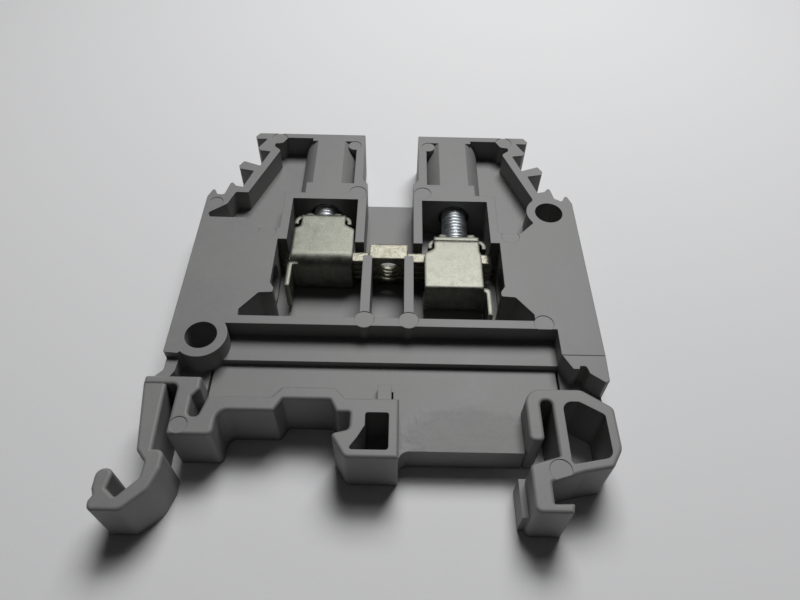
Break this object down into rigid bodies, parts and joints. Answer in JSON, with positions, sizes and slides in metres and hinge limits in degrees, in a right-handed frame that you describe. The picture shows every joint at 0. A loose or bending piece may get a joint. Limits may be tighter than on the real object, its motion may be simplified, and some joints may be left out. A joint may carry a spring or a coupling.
{
  "type": "din rail terminal block",
  "caption": "Feed-through screw terminal block, open on one side, with two cage clamps on a busbar, a latching foot and a fixed foot for a 35 mm rail.",
  "frame": {"origin": "middle of the 35 mm rail's top face, in the plane of the closed side", "axes": "+X along the wires, from the latch foot to the fixed foot; +Y away from the rail, to the screw towers; +Z along the rail, out of the open side"},
  "size_m": [0.0456, 0.0494, 0.006],
  "materials": {
    "polyamide": "grey moulded polyamide, fine satin grain",
    "tinned_bar": "tinned copper alloy, sheared ends",
    "zinc_plate": "zinc-plated folded steel strip",
    "zinc_screw": "zinc-plated steel screw"
  },
  "bodies": {
    "body": {"housing": "polyamide", "rail_foot": "polyamide", "busbar": "tinned_bar"},
    "latch": {"latch_arm": "polyamide"},
    "left_cage": {"clamp_cage_left": "zinc_plate"},
    "right_cage": {"clamp_cage_right": "zinc_plate"},
    "left_screw": {"clamp_screw_left": "zinc_screw"},
    "right_screw": {"clamp_screw_right": "zinc_screw"}
  },
  "joints": [
    {"name": "latch_flex", "type": "hinge", "parent": "body", "child": "latch", "pos_m": [-0.02017, 0.00505, 0.003], "axis": [0, 0, -1], "range_deg": [0, 9], "stiffness_Nm_per_rad": 0.3},
    {"name": "left_screw_turn", "type": "hinge", "parent": "body", "child": "left_screw", "pos_m": [-0.0054, 0.0315, 0.00335], "axis": [0, 1, 0], "range_deg": [-74, 2920]},
    {"name": "left_cage_slide", "type": "slide", "parent": "body", "child": "left_cage", "axis": [0, 1, 0], "range_m": [-0.00405, 0.0001]},
    {"name": "right_screw_turn", "type": "hinge", "parent": "body", "child": "right_screw", "pos_m": [0.0099, 0.0315, 0.00335], "axis": [0, 1, 0], "range_deg": [-2560, 434]},
    {"name": "right_cage_slide", "type": "slide", "parent": "body", "child": "right_cage", "axis": [0, 1, 0], "range_m": [-0.0006, 0.00355]}
  ],
  "couplings": [
    {"joint": "left_screw_turn", "follows": "left_cage_slide", "rad_per_m": -12566},
    {"joint": "right_screw_turn", "follows": "right_cage_slide", "rad_per_m": -12566}
  ]
}
